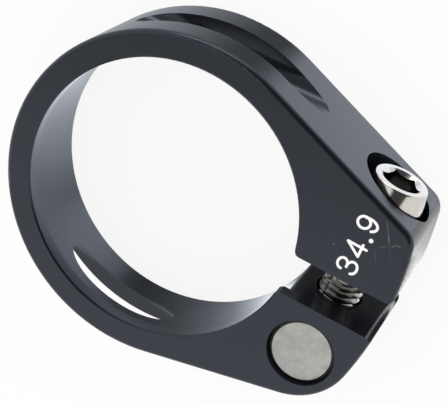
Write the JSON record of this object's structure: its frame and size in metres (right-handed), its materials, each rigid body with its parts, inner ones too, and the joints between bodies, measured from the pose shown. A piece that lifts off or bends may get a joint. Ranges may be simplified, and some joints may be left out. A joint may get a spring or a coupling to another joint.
{
  "type": "seatpost clamp",
  "caption": "Split collar with an inner lip and round-ended relief slots, closed round a bicycle's seat tube by a socket bolt that pulls on a barrel nut.",
  "frame": {"origin": "on the bore's axis at half the collar's height", "axes": "+Z along the bore, up through the lip; +X through the ears; +Y along the bolt towards its head"},
  "size_m": [0.0476, 0.039, 0.0134],
  "materials": {
    "collar": "machined, black anodised, satin",
    "bolt": "polished stainless steel",
    "nut": "faced and tumbled, satin"
  },
  "bodies": {
    "collar": {"clamp_collar": "collar"},
    "nut": {"barrel_nut": "nut"},
    "bolt": {"clamp_bolt": "bolt"}
  },
  "joints": [
    {"name": "nut_swivel", "type": "hinge", "parent": "collar", "child": "nut", "pos_m": [0.022, -0.00722, 0], "axis": [0, 0, 1], "range_deg": [-0.7, 0.7]},
    {"name": "bolt_turn", "type": "hinge", "parent": "nut", "child": "bolt", "pos_m": [0.022, 0, 0], "axis": [0, 1, 0], "continuous": true}
  ]
}
